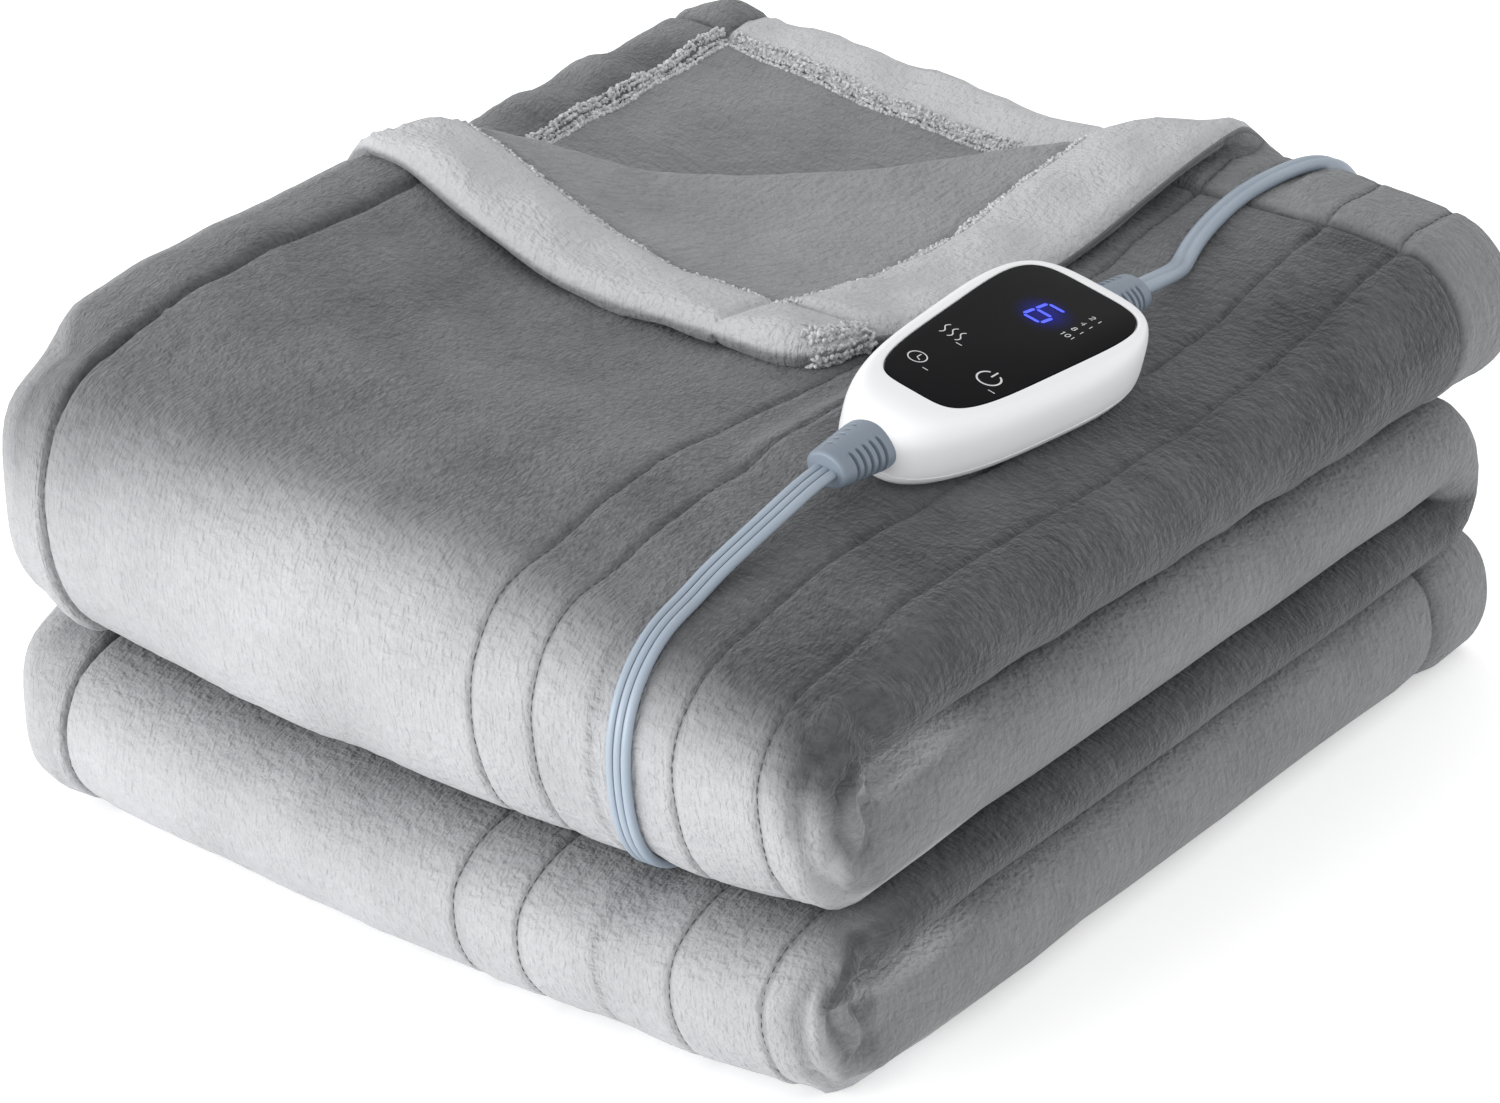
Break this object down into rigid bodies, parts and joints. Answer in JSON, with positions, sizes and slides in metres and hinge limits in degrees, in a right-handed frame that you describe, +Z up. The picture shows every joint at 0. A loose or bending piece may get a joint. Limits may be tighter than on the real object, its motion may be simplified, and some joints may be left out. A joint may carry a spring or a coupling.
{
  "type": "electric heated blanket",
  "caption": "Plush heated throw blanket folded into a stack with one corner turned back, its touch controller lying on top between a blanket lead and a mains cord.",
  "frame": {"origin": "middle of the folded stack's footprint, on the surface that it rests on", "axes": "+Z up, -Y towards the stack's two rounded front folds, +X towards its long side folds"},
  "size_m": [0.3502, 0.5382, 0.1834],
  "materials": {
    "plush_grey": "soft short plush pile, mid grey",
    "white_plastic": "satin white moulded plastic",
    "black_panel": "smooth black plastic",
    "blue_grey_vinyl": "soft blue-grey vinyl",
    "bright_metal": "bright plated metal"
  },
  "bodies": {
    "root": {"blanket": "plush_grey", "controller_housing": "white_plastic", "touch_panel": "black_panel", "lead_strain_relief": "blue_grey_vinyl", "mains_strain_relief": "blue_grey_vinyl", "blanket_lead": "blue_grey_vinyl", "mains_cord": "blue_grey_vinyl", "mains_coil": "blue_grey_vinyl", "mains_tail": "blue_grey_vinyl", "cord_tie": "black_panel", "plug_body": "blue_grey_vinyl", "plug_blade_left": "bright_metal", "plug_blade_right": "bright_metal"}
  },
  "joints": []
}
